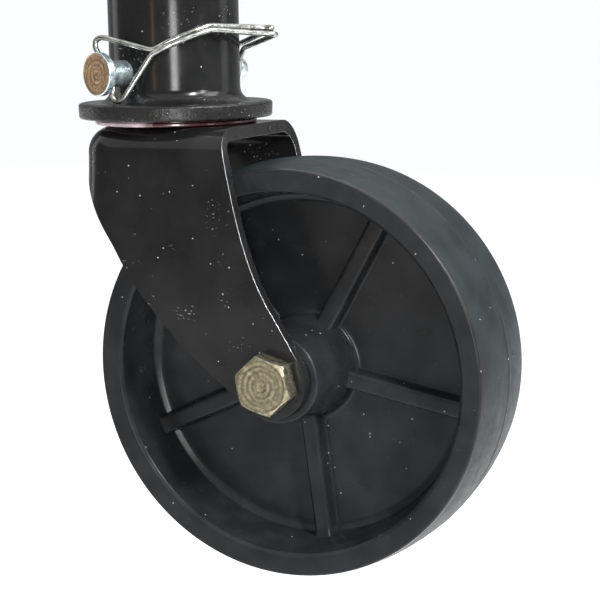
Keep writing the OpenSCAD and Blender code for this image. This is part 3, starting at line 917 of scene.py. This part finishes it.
def add_hexagon(mesh, base, outward, thickness, turn, face, bore=0.0):
    """Hexagon whose chamfer cuts arcs into its flats. face is the profile of its end."""
    steps = 96
    rim = face[0].x
    rows = [[] for _ in range(6 + len(face))]
    for j in range(steps):
        angle = 2 * math.pi * j / steps
        reach = hex_reach(angle)
        drop = max(0.0, (reach - rim) * math.tan(math.radians(30)))
        soft = 0.25 * MM
        spots = [
            (bore, 0.0), (reach - soft, 0.0), (reach, soft),
            (reach, thickness - drop - 0.5 * soft), (reach - 0.6 * soft, thickness - drop + 0.1 * soft),
            (rim + 0.2 * MM, thickness - 0.1 * MM),
        ]
        spots += [(p.x, thickness + p.y) for p in face]
        for row, (radius, height) in zip(rows, spots):
            row.append(along_axle(radius * math.cos(angle + turn), radius * math.sin(angle + turn),
                                  base + outward * height))
    add_grid(mesh, rows, wrap=True)


def threaded(radius, start, end, pitch=1.95 * MM):
    """Profile of a thread's crests and roots along the axis."""
    out = []
    root = radius - 0.9 * MM
    count = max(2, round(abs(end - start) / pitch))
    step = (end - start) / count
    for i in range(count):
        z = start + (end - start) * i / count
        out += [Vector((root, z)), Vector((radius, z + 0.42 * step)), Vector((radius, z + 0.58 * step))]
    return out + [Vector((root, end))]


def build_bolt(material, face_material):
    """Hexagon head, plain shank between the cheeks and a threaded end."""
    head_base = TUBE_Y - FORK_LOW.y
    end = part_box("axle_bolt")[1].y - AXLE.y
    mesh = bmesh.new()
    face = ringed_face(HEX_AF / 2 - 0.45 * MM, 0.0, 4, 0.12 * MM, 0.2 * MM)
    add_hexagon(mesh, head_base, 1, HEAD_T, math.radians(HEX_TURN), face)
    shank = [Vector((0, head_base)), Vector((AXLE_R, head_base)), Vector((AXLE_R, -CHEEK_HALF))]
    shank += threaded(AXLE_R, -CHEEK_HALF - 2 * MM, -end + 1 * MM)
    shank += [Vector((AXLE_R - 1.4 * MM, -end)), Vector((0, -end))]
    add_lathe(mesh, [tuple(p) for p in shank], along_axle, 64)
    bolt = finished(mesh, "axle_bolt_forged", [material, face_material], "fork", "axle_bolt",
                    slot="yellow_zinc")
    front = AXLE.y - head_base - HEAD_T + 0.6 * MM
    for polygon in bolt.data.polygons:
        if polygon.center.y < front and abs(polygon.normal.y) > 0.8:
            polygon.material_index = 1


def build_nut(material):
    """Lock nut on the bolt's far end: a hexagon with a raised round collar."""
    washer_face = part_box("axle_washer")[1].y
    nut_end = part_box("axle_nut")[1].y
    base = -(washer_face - AXLE.y)
    hex_t = nut_end - washer_face - 3 * MM
    mesh = bmesh.new()
    collar_r = HEX_AF / 2 - 1 * MM
    face = [Vector((HEX_AF / 2 - 0.4 * MM, 0)), Vector((collar_r + 0.4 * MM, 0)),
            Vector((collar_r, 0.4 * MM)), Vector((collar_r - 0.1 * MM, 2.2 * MM)),
            Vector((collar_r - 0.9 * MM, 3 * MM)), Vector((AXLE_R + 0.6 * MM, 3 * MM)),
            Vector((AXLE_R - 0.2 * MM, 2.4 * MM)), Vector((AXLE_R - 0.2 * MM, -hex_t))]
    add_hexagon(mesh, base, -1, hex_t, math.radians(12), face, AXLE_R - 0.2 * MM)
    finished(mesh, "axle_lock_nut", [material], "fork", "axle_nut", slot="yellow_zinc")


# ---------------------------------------------------------------- camera, lights and floor

def build_camera():
    """Stands where the photographer stood: to the front right of the wheel and a little above."""
    azimuth, elevation, roll = (math.radians(v) for v in (23.57, 9.71, -0.92))
    target = AXLE + Vector((-3.6, 0, 23.3)) * MM
    distance = 0.597
    back = Vector((math.sin(azimuth) * math.cos(elevation), -math.cos(azimuth) * math.cos(elevation),
                   math.sin(elevation)))
    data = bpy.data.cameras.new("camera")
    data.sensor_width = 36
    data.lens = 97.43
    data.clip_start = 0.02
    data.clip_end = 50
    camera = bpy.data.objects.new("camera", data)
    bpy.context.scene.collection.objects.link(camera)
    turn = (-back).to_track_quat("-Z", "Y").to_matrix() @ Matrix.Rotation(roll, 3, "Z")
    camera.matrix_world = Matrix.Translation(target + distance * back) @ turn.to_4x4()
    bpy.context.scene.camera = camera


def add_softbox(name, bearing, height, distance, width, tall, watts, colour=(1, 1, 1), aim=None):
    """A soft light panel that is not seen itself. It stands at a bearing (degrees from the front
    towards +X), a height in the frame and a distance from what it is aimed at."""
    aim = aim or Vector((TUBE_X, TUBE_Y, AXLE.z + 40 * MM))
    angle = math.radians(bearing)
    spot = Vector((aim.x + distance * math.sin(angle), aim.y - distance * math.cos(angle), height))
    data = bpy.data.lights.new(name, "AREA")
    data.shape = "RECTANGLE"
    data.size = width
    data.size_y = tall
    data.energy = watts
    data.color = colour
    light = bpy.data.objects.new(name, data)
    light.location = spot
    light.rotation_euler = (aim - spot).to_track_quat("-Z", "Y").to_euler()
    light.visible_camera = False
    bpy.context.scene.collection.objects.link(light)


def add_skylight():
    """Soft light from all over the ceiling, which keeps the floor white far away."""
    data = bpy.data.lights.new("skylight", "SUN")
    data.energy = 3.1
    data.angle = math.radians(120)
    light = bpy.data.objects.new("skylight", data)
    bpy.context.scene.collection.objects.link(light)


def build_world():
    """A pale room: white to look at, and less bright above than at the horizon for what it lights."""
    world = bpy.data.worlds.new("studio")
    world.use_nodes = True
    tree = world.node_tree
    background = tree.nodes["Background"]
    background.inputs["Color"].default_value = (0.98, 0.99, 1.0, 1)
    direction = tree.nodes.new("ShaderNodeTexCoord")
    split = tree.nodes.new("ShaderNodeSeparateXYZ")
    tree.links.new(direction.outputs["Generated"], split.inputs[0])
    falloff = tree.nodes.new("ShaderNodeMapRange")
    tree.links.new(split.outputs["Z"], falloff.inputs["Value"])
    for key, number in (("From Min", 0.05), ("From Max", 0.6), ("To Min", 0.36), ("To Max", 0.16)):
        falloff.inputs[key].default_value = number
    seen = tree.nodes.new("ShaderNodeLightPath")
    level = tree.nodes.new("ShaderNodeMix")
    tree.links.new(seen.outputs["Is Camera Ray"], level.inputs[0])
    tree.links.new(falloff.outputs["Result"], level.inputs[2])
    level.inputs[3].default_value = 1.0
    tree.links.new(level.outputs[0], background.inputs["Strength"])
    bpy.context.scene.world = world
    bpy.context.scene.view_settings.view_transform = "Standard"


def build_studio():
    """The room, the light panels and the floor."""
    build_world()
    add_softbox("key_strip", 27, GROUND + 0.13, 0.45, 0.08, 0.18, 1.5)
    add_softbox("warm_strip", -8, GROUND + 0.13, 0.45, 0.025, 0.18, 0.08, (1.0, 0.72, 0.4))
    add_softbox("hub_glint", 58, GROUND + 0.64, 0.7, 0.1, 0.25, 15, aim=AXLE)
    add_softbox("edge_glint", 76, GROUND + 0.43, 0.7, 0.12, 0.3, 4, aim=AXLE)
    add_softbox("edge_panel", 100, GROUND + 0.7, 0.8, 0.4, 0.5, 7, aim=AXLE)
    add_softbox("top_panel", 150, 1.6, 0.5, 2.4, 2.4, 18, aim=AXLE)
    add_softbox("right_panel", 125, 0.0, 1.3, 0.4, 0.9, 1.6)
    add_softbox("left_panel", -95, 0.0, 1.3, 0.4, 0.9, 1.6)
    add_skylight()
    build_floor()


def build_floor():
    """A floor eight metres square, as far below the wheel as the tube can come down."""
    mesh = bmesh.new()
    add_grid(mesh, [[Vector((x, y, FLOOR)) for x in range(-4, 5)] for y in range(-4, 5)])
    data = bpy.data.meshes.new("floor")
    mesh.to_mesh(data)
    mesh.free()
    data.materials.append(pale_floor())
    floor = bpy.data.objects.new("floor", data)
    bpy.context.scene.collection.objects.link(floor)


# ---------------------------------------------------------------- the whole object

def clad_nodes(materials):
    """Every CAD piece gets the finish that its material slot names."""
    slot_of = {part["node"]: part["material_slot"] for part in frame["record"]["subparts"]}
    for name, node in frame["nodes"].items():
        node.data.materials.clear()
        node.data.materials.append(materials[slot_of[name]])


build_camera()
build_studio()

PAINT = black_paint()
CAST = black_paint("black_paint_on_casting", grit=0.16 * MM, gloss=0.1)
AXLE_LINE = (tuple(AXLE), (0, 1, 0))
PIN_LINE = (tuple(along_pin(0, 0, 0)), (math.sin(PIN_TURN), -math.cos(PIN_TURN), 0))
MATERIALS = {
    "black_paint": black_paint("black_paint_on_tube", peel=0.002 * MM, gloss=0.17),
    "black_plastic": black_plastic("black_plastic", (0.012, 0.0122, 0.0125), 0.42, 0.01 * MM),
    "wheel_plastic": black_plastic("wheel_plastic", (0.0092, 0.0098, 0.0107), 0.22, 0.006 * MM),
    "grip_rubber": grip_rubber(),
    "zinc_plate": plated("zinc_plate", (0.17, 0.2, 0.21), (0.4, 0.45, 0.47), 0.34, 3 * MM),
    "spring_wire": plated("spring_wire", (0.12, 0.115, 0.1), (0.34, 0.355, 0.34), 0.2, 3 * MM,
                          worn=0.0),
    "yellow_zinc": plated("yellow_zinc", (0.12, 0.115, 0.08), (0.3, 0.285, 0.21), 0.24, 2.4 * MM),
    "machined_steel": plated("machined_steel", (0.14, 0.14, 0.14), (0.3, 0.3, 0.3), 0.34, 4 * MM,
                             lines=(1, 1, 12)),
    "lavender_plastic": lavender_plastic(),
}
TREAD = black_plastic("wheel_tread", (0.008, 0.0108, 0.0118), 0.46, 0.012 * MM)
BOLT_FACE = plated("yellow_zinc_forged", (0.1, 0.088, 0.055), (0.22, 0.195, 0.13), 0.46, 1.0 * MM,
                   AXLE_LINE, 1.7 * MM, 0.012 * MM)
PIN_FACE_FINISH = plated("tan_forged_face", (0.17, 0.1, 0.055), (0.42, 0.29, 0.17), 0.48, 0.9 * MM,
                         PIN_LINE, 1.6 * MM, 0.02 * MM)
PIN_SIDE = plated("bright_zinc", (0.26, 0.33, 0.35), (0.6, 0.68, 0.7), 0.24, 2 * MM)
# fork edge material with a painted highlight along the cheeks' front edges
FORK_EDGE_HIGHLIGHT = painted_highlight_edge()

clad_nodes(MATERIALS)
build_wheel(TREAD, MATERIALS["wheel_plastic"])
build_fork(PAINT, FORK_EDGE_HIGHLIGHT)
build_socket(PAINT, CAST)
build_seal(MATERIALS["lavender_plastic"])
build_pin(PIN_SIDE, PIN_FACE_FINISH)
build_clip(MATERIALS["spring_wire"])
build_bolt(MATERIALS["yellow_zinc"], BOLT_FACE)
build_nut(MATERIALS["yellow_zinc"])

bpy.context.view_layer.update()
